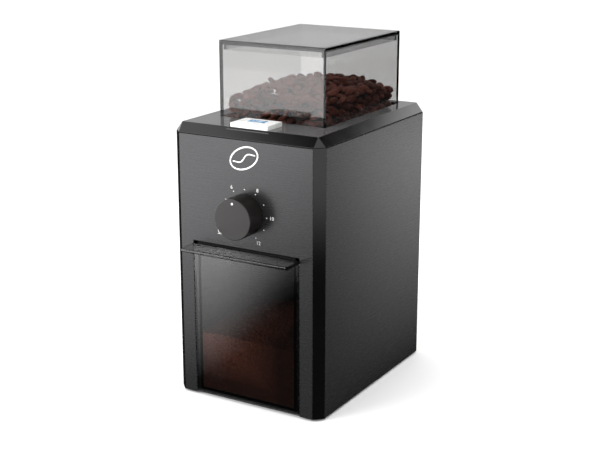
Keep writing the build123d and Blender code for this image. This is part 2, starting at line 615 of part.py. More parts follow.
with BuildPart() as grind_thumbwheel:
    with BuildSketch(Plane(origin=(*WHEEL, RING_Z[0]))):
        add(gear_face(WHEEL_TEETH, 180 / WHEEL_TEETH))
    extrude(amount=RING_Z[1] - RING_Z[0])
    with Locations((*WHEEL, RING_Z[1] - 0.8)):
        Cylinder(13.0, 1.6, mode=Mode.SUBTRACT)
    rod(WHEEL, 4.5, (RING_Z[0], COVER_Z[0] - 0.4))
    rod(WHEEL, 2.5, (162.0, COVER_Z[1]))
keep(grind_thumbwheel, "grind_thumbwheel")

# ---------------------------------------------------------------- hopper
# Clear box with a funnel floor that narrows from the four walls to a round neck.
with BuildPart() as bean_hopper:
    inner = (HOPPER_X - HOPPER_WALL, (HOPPER_Y[0] + HOPPER_WALL, HOPPER_Y[1] - HOPPER_WALL))
    inner_x = (-inner[0], inner[0])
    inner_size = (2 * inner[0], inner[1][1] - inner[1][0])
    block((-HOPPER_X, HOPPER_X), HOPPER_Y, (HOPPER_FOOT, HOPPER_RIM))
    fillet(bean_hopper.edges().filter_by(Axis.Z), 0.9)
    block(inner_x, inner[1], (FLOOR_TOP, HOPPER_RIM), Mode.SUBTRACT)
    block(inner_x, inner[1], (HOPPER_FOOT, FLOOR_TOP - 2), Mode.SUBTRACT)
    with BuildSketch(Plane(origin=(*MILL, FLOOR_TOP - 2))):
        Rectangle(*inner_size)
    with BuildSketch(Plane(origin=(*MILL, 186.0))):
        Circle(NECK_RADIUS)
    loft()
    rod(MILL, NECK_RADIUS, (181.0, 186.0))
    with BuildSketch(Plane(origin=(*MILL, FLOOR_TOP))):
        Rectangle(*inner_size)
    with BuildSketch(Plane(origin=(*MILL, 188.0))):
        Circle(THROAT_RADIUS)
    loft(mode=Mode.SUBTRACT)
    rod(MILL, THROAT_RADIUS, (181.0, 188.0), Mode.SUBTRACT)
    rod((43.05, MILL[1]), 1.2, (192.5, HOPPER_FOOT))
keep(bean_hopper, "bean_hopper")

with BuildPart() as hopper_gasket:
    ring(MILL, NECK_RADIUS - 0.1, THROAT_RADIUS, (179.9, 181.0))
keep(hopper_gasket, "hopper_gasket")

# Flat lid with a skirt that drops inside the hopper's rim.
with BuildPart() as hopper_lid:
    block((-HOPPER_X, HOPPER_X), HOPPER_Y, (HOPPER_RIM + 0.3, LID_TOP))
    fillet(hopper_lid.edges().filter_by(Axis.Z), 0.9)
    fillet(hopper_lid.faces().sort_by(Axis.Z)[-1].edges(), 0.5)
    skirt = (HOPPER_Y[0] + 3.0, HOPPER_Y[1] - 3.0)
    block((-41.3, 41.3), skirt, (HOPPER_RIM - 4, HOPPER_RIM + 0.3))
    core = (skirt[0] + 1.6, skirt[1] - 1.6)
    block((-39.7, 39.7), core, (HOPPER_RIM - 4, HOPPER_RIM + 0.3), Mode.SUBTRACT)
keep(hopper_lid, "hopper_lid")

# ---------------------------------------------------------------- grounds container
# Clear tub behind a wider front plate, with a flat lip to pull it by.
with BuildPart() as grounds_container:
    block((-CONTAINER_X, CONTAINER_X), (PLATE_BACK, CONTAINER_BACK), (4.3, LIP_TOP))
    fillet(grounds_container.edges().filter_by(Axis.Z).group_by(Axis.Y)[-1], 3.0)
    block((-PLATE_X, PLATE_X), (FRONT, PLATE_BACK), (2.2, LIP_TOP))
    block((-PLATE_X, PLATE_X), (LIP_FRONT, FRONT), (LIP_TOP - LIP_THICK, LIP_TOP))
    fillet(grounds_container.faces().sort_by(Axis.Y)[0].edges(), 0.9)
    block((-39.5, 39.5), (PLATE_BACK, CONTAINER_BACK - 2.2), (6.5, LIP_TOP), Mode.SUBTRACT)
keep(grounds_container, "grounds_container")

# Lid with the hole that the chute drops the grounds through.
with BuildPart() as container_lid:
    block((-41.4, 41.4), (FRONT + 0.6, CONTAINER_BACK - 0.4), (LIP_TOP, LIP_TOP + 1.2))
    block((-39.2, 39.2), (PLATE_BACK + 0.3, CONTAINER_BACK - 2.5), (LIP_TOP - 3, LIP_TOP))
    block((-38.0, 38.0), (PLATE_BACK + 1.5, CONTAINER_BACK - 3.7), (LIP_TOP - 3, LIP_TOP), Mode.SUBTRACT)
    block((-12.0, 12.0), (-37.5, -12.5), (LIP_TOP - 1, LIP_TOP + 2), Mode.SUBTRACT)
keep(container_lid, "container_lid")

# ---------------------------------------------------------------- start button
with BuildPart() as start_button:
    block((-BUTTON_X, BUTTON_X), BUTTON_Y, (205.0, BUTTON_TOP))
    fillet(start_button.faces().sort_by(Axis.Z)[-1].edges(), 0.5)
    block((-13.7, 13.7), (BUTTON_Y[0] + 1.5, BUTTON_Y[1] - 1.5), (205.0, 208.2), Mode.SUBTRACT)
    rod((0, BUTTON_MID), 2.4, (195.2, 208.5))
    rod((0, BUTTON_MID), 1.8, (191.5, 195.2))
    rod((0, BUTTON_MID), 4.2, (199.2, 200.4))
    block((-6.8, 6.8), (BUTTON_MID - 1.4, BUTTON_MID + 5.4), (BUTTON_TOP - 0.8, BUTTON_TOP), Mode.SUBTRACT)
keep(start_button, "start_button")

with BuildPart() as button_window:
    block((-6.7, 6.7), (BUTTON_MID - 1.3, BUTTON_MID + 5.3), (BUTTON_TOP - 0.8, BUTTON_TOP + 0.1))
keep(button_window, "button_window")

# Return spring between the pocket's floor and the cap.
with BuildPart() as button_spring:
    with BuildLine(Plane(origin=(0, BUTTON_MID, POCKET_FLOOR + 0.4))):
        coil = Helix(pitch=1.45, height=4.5, radius=4.0)
    with BuildSketch(Plane(origin=coil @ 0, z_dir=coil % 0)):
        Circle(0.3)
    sweep()
keep(button_spring, "button_spring")

with BuildPart() as switch_board:
    block((-16.0, 16.0), (-67.0, -48.4), (186.4, 188.0))
keep(switch_board, "switch_board")

with BuildPart() as start_switch:
    block((-6.0, 6.0), (BUTTON_MID - 6, BUTTON_MID + 6), (188.0, 192.5))
    rod((0, BUTTON_MID), 2.2, (189.2, 192.5), Mode.SUBTRACT)
keep(start_switch, "start_switch")

# ---------------------------------------------------------------- quantity dial and electronics
with BuildPart() as dial_knob:
    rod_y(0, DIAL_Z, DIAL_RADIUS, (DIAL_FACE, FRONT - 0.4))
    fillet(dial_knob.faces().sort_by(Axis.Y)[0].edges(), 0.7)
    rod_y(0, DIAL_Z, DIAL_RADIUS - 1.6, (DIAL_FACE + 2, FRONT - 0.4), Mode.SUBTRACT)
    rod_y(0, DIAL_Z, 5.5, (DIAL_FACE + 1.5, FRONT - 1.0))
    rod_y(0, DIAL_Z, 3.0, (-86.0, FRONT - 0.4), Mode.SUBTRACT)
keep(dial_knob, "dial_knob")

with BuildPart() as dial_shaft:
    rod_y(0, DIAL_Z, 3.0, (-86.0, -65.0))
keep(dial_shaft, "dial_shaft")

with BuildPart() as potentiometer:
    rod_y(0, DIAL_Z, 8.5, (INNER_FRONT, -62.0))
    rod_y(0, DIAL_Z, 4.1, (FRONT + 0.5, INNER_FRONT))
    rod_y(0, DIAL_Z, 3.06, (FRONT + 0.5, -64.6), Mode.SUBTRACT)
keep(potentiometer, "potentiometer")

with BuildPart() as control_board:
    block((-34.0, 34.0), (-62.0, -60.4), (128.0, 180.0))
keep(control_board, "control_board")

with BuildPart() as power_relay:
    block((-28.0, -8.0), (-60.4, -44.6), (158.0, 173.0))
    fillet(power_relay.edges().filter_by(Axis.Y), 0.8)
keep(power_relay, "power_relay")

with BuildPart() as suppression_capacitor:
    block((8.0, 28.0), (-60.4, -46.0), (160.0, 169.0))
    fillet(suppression_capacitor.edges().filter_by(Axis.Y), 2.0)
keep(suppression_capacitor, "suppression_capacitor")

# Safety switches: one under the hopper's peg, one behind the container.
with BuildPart() as hopper_switch:
    block((39.8, 46.2), (MILL[1] - 10, MILL[1] + 10), (181.0, 191.0))
    rod((43.05, MILL[1]), 1.25, (190.0, 191.0), Mode.SUBTRACT)
    rod((43.05, MILL[1]), 2.2, (186.5, 190.0), Mode.SUBTRACT)
keep(hopper_switch, "hopper_switch")

with BuildPart() as hopper_switch_plunger:
    rod((43.05, MILL[1]), 1.0, (188.0, 192.2))
    rod((43.05, MILL[1]), 1.8, (188.8, 189.6))
keep(hopper_switch_plunger, "hopper_switch_plunger")

with BuildPart() as container_switch:
    block((-10.0, 10.0), (0.5, 10.5), (56.8, 63.2))
    rod_y(0, 60.0, 1.25, (0.5, 1.5), Mode.SUBTRACT)
    rod_y(0, 60.0, 2.2, (1.5, 5.5), Mode.SUBTRACT)
keep(container_switch, "container_switch")

with BuildPart() as container_switch_plunger:
    rod_y(0, 60.0, 1.0, (-2.1, 3.8))
    rod_y(0, 60.0, 1.8, (2.0, 2.8))
keep(container_switch_plunger, "container_switch_plunger")
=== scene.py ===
import math
import random

import bmesh
import bpy
from mathutils import Euler, Matrix, Vector, noise


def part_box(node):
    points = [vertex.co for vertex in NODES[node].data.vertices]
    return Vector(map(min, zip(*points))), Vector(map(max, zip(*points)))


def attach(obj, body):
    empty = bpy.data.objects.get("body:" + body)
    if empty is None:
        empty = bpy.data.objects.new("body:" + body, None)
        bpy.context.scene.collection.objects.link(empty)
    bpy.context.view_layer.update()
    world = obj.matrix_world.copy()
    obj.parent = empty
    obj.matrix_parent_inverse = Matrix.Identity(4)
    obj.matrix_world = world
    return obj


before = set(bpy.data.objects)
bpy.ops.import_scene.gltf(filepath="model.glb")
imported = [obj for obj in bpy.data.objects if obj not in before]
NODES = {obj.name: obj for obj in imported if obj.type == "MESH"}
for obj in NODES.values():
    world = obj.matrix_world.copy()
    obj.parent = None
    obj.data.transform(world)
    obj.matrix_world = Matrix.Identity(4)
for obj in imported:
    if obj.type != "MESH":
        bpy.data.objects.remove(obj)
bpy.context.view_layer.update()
MM = 0.001


# ---------------------------------------------------------------- shading helpers
class Shader:
    """One Principled material with short calls for the textures that feed it."""

    def __init__(self, name, colour, rough, metal=0.0, **sockets):
        self.mat = bpy.data.materials.new(name)
        self.mat.use_nodes = True
        self.nodes = self.mat.node_tree.nodes
        self.links = self.mat.node_tree.links
        self.bsdf = self.nodes["Principled BSDF"]
        self.bsdf.inputs["Base Color"].default_value = (*colour, 1)
        self.bsdf.inputs["Roughness"].default_value = rough
        self.bsdf.inputs["Metallic"].default_value = metal
        for key, value in sockets.items():
            self.bsdf.inputs[key.replace("_", " ")].default_value = value
        place = self.nodes.new("ShaderNodeTexCoord")
        self.object = place.outputs["Object"]
        self.normal = place.outputs["Normal"]

    def stretched(self, x, y, z):
        """Object coordinates scaled along each axis, for brushed or drawn marks."""
        n = self.nodes.new("ShaderNodeMapping")
        n.inputs["Scale"].default_value = (x, y, z)
        self.links.new(self.object, n.inputs["Vector"])
        return n.outputs["Vector"]

    def noise(self, scale, detail=2.0, rough=0.5, coords=None):
        n = self.nodes.new("ShaderNodeTexNoise")
        n.inputs["Scale"].default_value = scale
        n.inputs["Detail"].default_value = detail
        n.inputs["Roughness"].default_value = rough
        self.links.new(coords or self.object, n.inputs["Vector"])
        return n.outputs["Fac"]

    def cells(self, scale, coords=None, feature="F1"):
        """Distance to the nearest cell's point, or to its edge."""
        n = self.nodes.new("ShaderNodeTexVoronoi")
        n.feature = feature
        n.inputs["Scale"].default_value = scale
        self.links.new(coords or self.object, n.inputs["Vector"])
        return n.outputs["Distance"]

    def bands(self, scale, direction, distortion=0.0):
        n = self.nodes.new("ShaderNodeTexWave")
        n.wave_type = "BANDS"
        n.bands_direction = direction
        n.inputs["Scale"].default_value = scale
        n.inputs["Distortion"].default_value = distortion
        self.links.new(self.object, n.inputs["Vector"])
        return n.outputs["Fac"]

    def ramp(self, value, *stops):
        """A colour ramp; each stop is (position, grey or colour)."""
        n = self.nodes.new("ShaderNodeValToRGB")
        points = n.color_ramp.elements
        while len(points) < len(stops):
            points.new(0.5)
        for point, (place, tone) in zip(points, stops):
            point.position = place
            point.color = (tone, tone, tone, 1) if isinstance(tone, float) else (*tone, 1)
        self.links.new(value, n.inputs["Fac"])
        return n.outputs["Color"]

    def span(self, value, low, high, start=0.0, end=1.0):
        """Maps start..end onto low..high."""
        n = self.nodes.new("ShaderNodeMapRange")
        for key, v in (("From Min", start), ("From Max", end), ("To Min", low), ("To Max", high)):
            n.inputs[key].default_value = v
        self.links.new(value, n.inputs["Value"])
        return n.outputs["Result"]

    def maths(self, operation, a, b):
        n = self.nodes.new("ShaderNodeMath")
        n.operation = operation
        for socket, v in zip(n.inputs, (a, b)):
            if isinstance(v, (int, float)):
                socket.default_value = v
            else:
                self.links.new(v, socket)
        return n.outputs["Value"]

    def blend(self, factor, a, b):
        n = self.nodes.new("ShaderNodeMix")
        n.data_type = "RGBA"
        self.links.new(factor, n.inputs["Factor"])
        for socket, v in ((n.inputs["A"], a), (n.inputs["B"], b)):
            if isinstance(v, tuple):
                socket.default_value = (*v, 1)
            else:
                self.links.new(v, socket)
        return n.outputs["Result"]

    def axis(self, vector, name):
        """One coordinate of a vector."""
        n = self.nodes.new("ShaderNodeSeparateXYZ")
        self.links.new(vector, n.inputs[0])
        return n.outputs[name]

    def paint(self, colour):
        self.links.new(colour, self.bsdf.inputs["Base Color"])
        return self

    def gloss(self, value):
        self.links.new(value, self.bsdf.inputs["Roughness"])
        return self

    def bump(self, height, depth):
        """Adds relief: depth in millimetres for a full step of height."""
        n = self.nodes.new("ShaderNodeBump")
        n.inputs["Strength"].default_value = 1.0
        n.inputs["Distance"].default_value = depth * MM
        self.links.new(height, n.inputs["Height"])
        normal = self.bsdf.inputs["Normal"]
        if normal.is_linked:
            self.links.new(normal.links[0].from_socket, n.inputs["Normal"])
        self.links.new(n.outputs["Normal"], normal)
        return self


def tone(colour, share):
    """The colour made lighter or darker."""
    return tuple(min(1.0, c * share) for c in colour)


def plastic(name, colour, rough, grain=900.0, depth=0.02, mottle=0.12, **sockets):
    """Moulded plastic: fine grain, a little flow mottle in the colour and uneven gloss."""
    s = Shader(name, colour, rough, **sockets)
    cloud = s.noise(28.0, 3.0, 0.6)
    speck = s.noise(grain, 2.0, 0.6)
    both = s.maths("ADD", s.maths("MULTIPLY", cloud, 0.65), s.maths("MULTIPLY", speck, 0.35))
    s.paint(s.blend(both, tone(colour, 1 - mottle), tone(colour, 1 + mottle)))
    s.gloss(s.span(s.noise(60.0, 4.0, 0.65), rough * 0.86, rough * 1.14, 0.3, 0.7))
    s.bump(speck, depth)
    return s


def metal(name, colour, rough, stretch=(40, 40, 1500), depth=0.006):
    """Machined or drawn metal. Its fine marks run along the axes of least stretch."""
    s = Shader(name, colour, rough, 1.0)
    marks = s.noise(1.0, 3.0, 0.7, s.stretched(*stretch))
    stain = s.noise(120.0, 4.0, 0.6)
    s.paint(s.blend(stain, tone(colour, 0.82), tone(colour, 1.12)))
    s.gloss(s.span(marks, rough * 0.75, rough * 1.3, 0.25, 0.75))
    s.bump(marks, depth)
    return s


def clear(name, dye, density, rough=0.02, haze_and_painted_light=0.003, ior=1.49):
    """Smoke-tinted clear plastic. It darkens with thickness, and lamps reach through it unbent."""
    s = Shader(name, (1.0, 1.0, 1.0), rough, Transmission_Weight=1.0, IOR=ior)
    s.paint(s.blend(s.noise(9.0, 3.0), (0.97, 0.97, 0.97), (1.0, 1.0, 1.0)))
    s.gloss(s.span(s.noise(45.0, 5.0, 0.7), rough * 0.5, rough * 1.6, 0.3, 0.7))
    s.bump(s.noise(18.0, 2.0), haze_and_painted_light)
    out = s.nodes["Material Output"]
    path = s.nodes.new("ShaderNodeLightPath")
    through = s.nodes.new("ShaderNodeBsdfTransparent")
    through.inputs["Color"].default_value = (0.96, 0.96, 0.96, 1)
    mix = s.nodes.new("ShaderNodeMixShader")
    s.links.new(path.outputs["Is Shadow Ray"], mix.inputs[0])
    s.links.new(s.bsdf.outputs[0], mix.inputs[1])
    s.links.new(through.outputs[0], mix.inputs[2])
    s.links.new(mix.outputs[0], out.inputs["Surface"])
    smoke = s.nodes.new("ShaderNodeVolumeAbsorption")
    smoke.inputs["Color"].default_value = (*dye, 1)
    smoke.inputs["Density"].default_value = density
    s.links.new(smoke.outputs[0], out.inputs["Volume"])
    return s


def dress(shader, *names):
    """Gives CAD nodes their finished material."""
    for name in names:
        for slot in NODES[name].material_slots:
            slot.material = shader.mat


# ---------------------------------------------------------------- mesh helpers
def piece(name, bm, shader, body, smooth=False):
    """Turns a bmesh into a named piece that rides on a body."""
    bmesh.ops.recalc_face_normals(bm, faces=bm.faces)
    mesh = bpy.data.meshes.new(name)
    bm.to_mesh(mesh)
    bm.free()
    for face in mesh.polygons:
        face.use_smooth = smooth
    obj = bpy.data.objects.new(name, mesh)
    bpy.context.scene.collection.objects.link(obj)
    mesh.materials.append(shader.mat)
    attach(obj, body)
    return obj


def prism(bm, loop, place, depth):
    """A flat closed shape given as (x, y) points, raised by depth and put where place says."""
    low = [bm.verts.new(place @ Vector((x, y, 0))) for x, y in loop]
    high = [bm.verts.new(place @ Vector((x, y, depth))) for x, y in loop]
    bm.faces.new(low)
    bm.faces.new(high)
    for i in range(len(loop)):
        j = (i + 1) % len(loop)
        bm.faces.new((low[i], low[j], high[j], high[i]))


def stroke(bm, points, width, place, depth, closed=False):
    """A raised line of even width through (x, y) points."""
    count = len(points)
    left, right = [], []
    for i, p in enumerate(points):
        before = points[i - 1] if closed or i else p
        after = points[(i + 1) % count] if closed or i < count - 1 else p
        along = (Vector(after) - Vector(before)).normalized()
        side = Vector((-along.y, along.x)) * width / 2
        left.append(Vector(p) + side)
        right.append(Vector(p) - side)
    if not closed:
        prism(bm, left + right[::-1], place, depth)
        return
    rows = [
        [bm.verts.new(place @ Vector((*q, h))) for q in line]
        for line, h in ((left, 0), (left, depth), (right, depth), (right, 0))
    ]
    for a, b in zip(rows, rows[1:] + rows[:1]):
        for i in range(count):
            j = (i + 1) % count
            bm.faces.new((a[i], a[j], b[j], b[i]))


def disc(bm, radius, place, depth, sides):
    loop = [
        (radius * math.cos(2 * math.pi * i / sides), radius * math.sin(2 * math.pi * i / sides))
        for i in range(sides)
    ]
    prism(bm, loop, place, depth)


def lettering(bm, text, height, place, depth):
    """Plain figures, centred on place."""
    curve = bpy.data.curves.new("figures", "FONT")
    curve.body = text
    curve.size = height * 1.4
    curve.align_x = "CENTER"
    curve.align_y = "CENTER"
    curve.extrude = depth / 2
    curve.resolution_u = 4
    holder = bpy.data.objects.new("figures", curve)
    bpy.context.scene.collection.objects.link(holder)
    bpy.context.view_layer.update()
    drawn = holder.evaluated_get(bpy.context.evaluated_depsgraph_get())
    mesh = bpy.data.meshes.new_from_object(drawn)
    start = len(bm.verts)
    bm.from_mesh(mesh)
    bm.verts.ensure_lookup_table()
    for v in bm.verts[start:]:
        v.co = place @ (v.co + Vector((0, 0, depth / 2)))
    bpy.data.objects.remove(holder)
    bpy.data.curves.remove(curve)
    bpy.data.meshes.remove(mesh)


def on_front(x, z, y):
    """Places flat artwork on a face that looks along -Y."""
    return Matrix.Translation((x, y, z)) @ Euler((math.pi / 2, 0, 0)).to_matrix().to_4x4()


def on_top(x, y, z):
    return Matrix.Translation((x, y, z))


def arc(cx, cy, rx, ry, start, end, steps):
    """Points along part of an ellipse, from one angle to another in degrees."""
    return [
        (
            cx + rx * math.cos(math.radians(start + (end - start) * i / steps)),
            cy + ry * math.sin(math.radians(start + (end - start) * i / steps)),
        )
        for i in range(steps + 1)
    ]


def cup(bm, size, place, depth):
    """A small line drawing of a cup with its handle."""
    w = size * 0.09
    bowl = [(-0.42, 0.25), (-0.38, -0.12), (-0.22, -0.3), (0.12, -0.3), (0.28, -0.12), (0.32, 0.25)]
    stroke(bm, [(x * size, y * size) for x, y in bowl], w, place, depth)
    handle = arc(0.33 * size, 0.06 * size, 0.17 * size, 0.13 * size, 80, -100, 8)
    stroke(bm, handle, w, place, depth)
    stroke(bm, [(-0.5 * size, -0.46 * size), (0.42 * size, -0.46 * size)], w, place, depth)
    for x in (-0.2, 0.08):
        steam = [
            (x * size + 0.03 * size * math.sin(i * 1.6), (0.36 + 0.05 * i) * size)
            for i in range(5)
        ]
        stroke(bm, steam, w * 0.7, place, depth)


# ---------------------------------------------------------------- materials of the CAD pieces
BLACK = (0.0020, 0.0020, 0.0022)
gloss_black = plastic("gloss_black", BLACK, 0.12, 500.0, 0.003, 0.2)
dress(gloss_black, "body_shell")

# Painted light: the cover's level faces are painted paler than its slopes, in soft patches, as if lit from
# above.
cover_black = plastic("cover_black", BLACK, 0.12, 500.0, 0.003, 0.2)
level = cover_black.span(cover_black.axis(cover_black.normal, "Z"), 0.0, 1.0, 0.90, 0.99)
painted_light_patches = cover_black.span(cover_black.noise(40.0, 4.0, 0.6), 0.7, 1.0, 0.3, 0.7)
# The paler colour mixed in here is painted light on the upward faces.
haze_and_painted_light = cover_black.maths("MULTIPLY", level, painted_light_patches)
cover_black.paint(cover_black.blend(haze_and_painted_light, BLACK, (0.080, 0.080, 0.081)))
dress(cover_black, "top_cover")

anthracite = Shader("satin_anthracite", (0.056, 0.056, 0.058), 0.27, 0.75)
drift = anthracite.noise(14.0, 4.0, 0.6)
brushed = anthracite.noise(1.0, 3.0, 0.6, anthracite.stretched(60, 60, 1800))
streaks = anthracite.maths(
    "ADD", anthracite.maths("MULTIPLY", drift, 0.6), anthracite.maths("MULTIPLY", brushed, 0.4)
)
anthracite.paint(anthracite.blend(streaks, (0.054, 0.054, 0.056), (0.061, 0.061, 0.063)))
anthracite.gloss(anthracite.span(brushed, 0.26, 0.29, 0.3, 0.7))
anthracite.bump(brushed, 0.0002)
anthracite.bump(anthracite.noise(1500.0, 2.0), 0.0002)
dress(anthracite, "front_fascia", "left_side_panel", "right_side_panel")

dress(plastic("rear_black", (0.020, 0.020, 0.021), 0.55, 1400.0, 0.05), "rear_cover", "base_plate")
dress(
    plastic("rubber_black", (0.016, 0.016, 0.016), 0.8, 1100.0, 0.04),
    "rubber_feet", "cord_gland", "hopper_gasket",
)
dress(
    plastic("liner_black", (0.005, 0.005, 0.0055), 0.55, 900.0, 0.03, Specular_IOR_Level=0.2),
    "container_bay", "grounds_chute", "container_lid",
)
dress(
    plastic("frame_grey", (0.085, 0.087, 0.090), 0.5, 700.0, 0.05, 0.2),
    "chassis_frame", "gear_case", "burr_chamber", "mill_cover", "motor_end_cap",
)
dress(
    plastic("carrier_black", (0.030, 0.030, 0.032), 0.45, 700.0, 0.04),
    "lower_burr_carrier", "upper_burr_carrier", "feed_cone", "cooling_fan", "grind_thumbwheel",
)
dress(
    plastic("switch_black", (0.022, 0.022, 0.024), 0.4),
    "start_switch", "hopper_switch", "container_switch",
)
dress(plastic("plunger_red", (0.42, 0.05, 0.035), 0.4), "hopper_switch_plunger", "container_switch_plunger")
dress(plastic("relay_blue", (0.03, 0.10, 0.30), 0.35), "power_relay")
dress(plastic("capacitor_yellow", (0.60, 0.43, 0.05), 0.3), "suppression_capacitor")
dress(plastic("nylon_natural", (0.68, 0.66, 0.58), 0.42, 500.0, 0.03, 0.06), "driven_gear")
dress(plastic("carbon_dark", (0.028, 0.028, 0.030), 0.6, 1600.0, 0.06), "motor_brushes")
dress(plastic("ferrite_dark", (0.050, 0.050, 0.053), 0.6, 1300.0, 0.06, 0.2), "motor_magnets")

dress(
    metal("screw_steel", (0.50, 0.50, 0.51), 0.32),
    "housing_screws", "mill_screws", "lower_burr_screws", "upper_burr_screws",
)
dress(
    metal("shaft_steel", (0.60, 0.61, 0.62), 0.2, (30, 30, 2600)),
    "motor_shaft", "burr_shaft", "button_spring",
)
dress(metal("can_steel", (0.44, 0.45, 0.46), 0.34, (900, 900, 20)), "motor_can", "potentiometer")
dress(metal("bronze", (0.55, 0.34, 0.15), 0.4, (600, 600, 600), 0.02), "burr_shaft_bushes", "motor_bushes")
dress(metal("brass_turned", (0.66, 0.48, 0.20), 0.26, (60, 60, 2200)), "pinion_gear", "adjustment_ring")
dress(metal("burr_steel", (0.52, 0.53, 0.55), 0.3, (700, 700, 60)), "lower_burr", "upper_burr")
dress(metal("aluminium_turned", (0.66, 0.66, 0.67), 0.28, (40, 1800, 40)), "dial_shaft")
dress(metal("copper_bar", (0.70, 0.32, 0.16), 0.3, (1500, 1500, 20)), "commutator")

core = metal("laminations", (0.20, 0.205, 0.21), 0.45)
core.bump(core.bands(320.0, "Z"), 0.08)
dress(core, "armature_core")

winding = metal("enamelled_wire", (0.58, 0.20, 0.07), 0.28, (30, 30, 30), 0.0)
winding.bump(winding.bands(420.0, "DIAGONAL", 1.5), 0.25)
dress(winding, "armature_windings")

board = plastic("board_green", (0.018, 0.11, 0.045), 0.32, 900.0, 0.01)
tracks = board.cells(170.0, board.stretched(1, 1, 0.35), "DISTANCE_TO_EDGE")
board.paint(board.ramp(tracks, (0.03, (0.05, 0.24, 0.08)), (0.07, (0.018, 0.11, 0.045))))
board.bump(board.ramp(tracks, (0.03, 1.0), (0.06, 0.0)), 0.05)
dress(board, "control_board", "switch_board")

knob = plastic("knob_soft", (0.012, 0.0105, 0.0098), 0.42, 1500.0, 0.02, 0.08, Specular_IOR_Level=0.6)
dress(knob, "dial_knob")

button = plastic("button_white", (0.88, 0.88, 0.87), 0.28, 700.0, 0.01, 0.03)
dress(button, "start_button")

window = Shader("window_blue", (0.05, 0.30, 0.62), 0.2, Coat_Weight=0.6, Coat_Roughness=0.05)
lit = window.span(window.noise(160.0, 2.0), 0.0, 1.0, 0.3, 0.7)
window.paint(window.blend(lit, (0.04, 0.26, 0.56), (0.16, 0.48, 0.74)))
window.bump(window.noise(900.0), 0.01)
dress(window, "button_window")

dress(clear("hopper_smoke", (0.12, 0.11, 0.10), 158.0), "bean_hopper")
dress(clear("lid_smoke", (0.11, 0.11, 0.11), 208.0), "hopper_lid")
dress(clear("container_smoke", (0.12, 0.11, 0.10), 120.0, 0.02, 0.0008, 1.74), "grounds_container")

# ---------------------------------------------------------------- printed marks and badges
fascia_low, fascia_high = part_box("front_fascia")
knob_low, knob_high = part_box("dial_knob")
hopper_low, hopper_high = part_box("bean_hopper")
window_low, window_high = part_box("button_window")
front = fascia_low.y
dial_z = (knob_low.z + knob_high.z) / 2
dial_radius = (knob_high.x - knob_low.x) / 2

INK = 0.06 * MM
WINDOW_INK = 0.05 * MM
BADGE_DEPTH = 0.25 * MM
DIAL_END = 150
DOT_STEP = 30
DOT_REACH = dial_radius + 3.3 * MM
FIGURES = (("12", 150), ("10", 90), ("8", 30), ("6", -30), ("4", -90), ("2", -150))
FIGURE_HEIGHT = 2.6 * MM


def round_dial(angle, reach):
    """A spot on the front panel at an angle from the top of the dial, in degrees clockwise."""
    a = math.radians(angle)
    return on_front(reach * math.sin(a), dial_z + reach * math.cos(a), front)


white_ink = plastic("white_ink", (0.78, 0.78, 0.76), 0.5, 1800.0, 0.01, 0.05)
bm = bmesh.new()
for angle in range(-DIAL_END, DIAL_END + 1, DOT_STEP):
    disc(bm, 0.42 * MM, round_dial(angle, DOT_REACH), INK, 12)
for figure, angle in FIGURES:
    reach = dial_radius + (7.4 if len(figure) == 2 else 6.6) * MM
    lettering(bm, figure, FIGURE_HEIGHT, round_dial(angle, reach), INK)
cup(bm, 4.4 * MM, on_front(-21.0 * MM, dial_z - 15.0 * MM, front), INK)
piece("dial_print", bm, white_ink, "housing")

bm = bmesh.new()
disc(bm, 0.85 * MM, on_front(0, dial_z + 11.4 * MM, knob_low.y), INK, 20)
piece("dial_pointer", bm, white_ink, "dial")

# Badge: the outline of a coffee bean with its crease.
silver = metal("badge_silver", (0.80, 0.80, 0.79), 0.3, (500, 500, 500), 0.004)
bm = bmesh.new()
turn = on_front(0, fascia_high.z - 12.5 * MM, front) @ Matrix.Rotation(math.radians(24), 4, "Z")
stroke(bm, arc(0, 0, 12.0 * MM, 7.4 * MM, 0, 352.5, 47), 1.1 * MM, turn, BADGE_DEPTH, closed=True)
crease = [(x * MM, 1.5 * MM * math.sin(x * 0.42)) for x in [-9.6 + 0.8 * i for i in range(25)]]
stroke(bm, crease, 0.9 * MM, turn, BADGE_DEPTH)
piece("bean_badge", bm, silver, "housing")

# Fill mark on the hopper: a small triangle over a line.
bm = bmesh.new()
mark = on_front(3.0 * MM, 228.4 * MM, hopper_low.y)
stroke(bm, [(-3.2 * MM, -1.6 * MM), (3.2 * MM, -1.6 * MM)], 0.5 * MM, mark, INK)
prism(bm, [(-1.4 * MM, 1.6 * MM), (0, -0.9 * MM), (1.4 * MM, 1.6 * MM)], mark, INK)
faint_ink = plastic("faint_ink", (0.40, 0.38, 0.37), 0.5, 1800.0, 0.01, 0.05)
piece("fill_mark", bm, faint_ink, "hopper")

# On the button's window: a cup and three lines, each shorter than the last.
bm = bmesh.new()
centre = (window_low + window_high) / 2
place = on_top(centre.x - 2.6 * MM, centre.y + 0.2 * MM, window_high.z)
cup(bm, 3.6 * MM, place, WINDOW_INK)
for row in range(3):
    y = (1.5 - 1.4 * row) * MM
    stroke(bm, [(2.6 * MM, y), ((7.6 - row) * MM, y)], 0.45 * MM, place, WINDOW_INK)
piece("button_print", bm, white_ink, "button")

# ---------------------------------------------------------------- coffee beans
WALL = 2.5 * MM
FUNNEL_TOP = 204.0 * MM
FUNNEL_END = 188.0 * MM
NECK_RADIUS = 12.0 * MM
MILL_Y = (hopper_low.y + hopper_high.y) / 2
HALF_X = hopper_high.x - WALL
HALF_Y = (hopper_high.y - hopper_low.y) / 2 - WALL

# The heap's surface, in metres.
HEAP_EDGE = 0.2200
HEAP_PEAK = 0.0085
HEAP_SPREAD = (0.030, 0.040)
HEAP_SHIFT = 0.006
CORNER_DIP = 0.004
LUMP_HEIGHT = 0.0025
LUMP_SCALE = 70

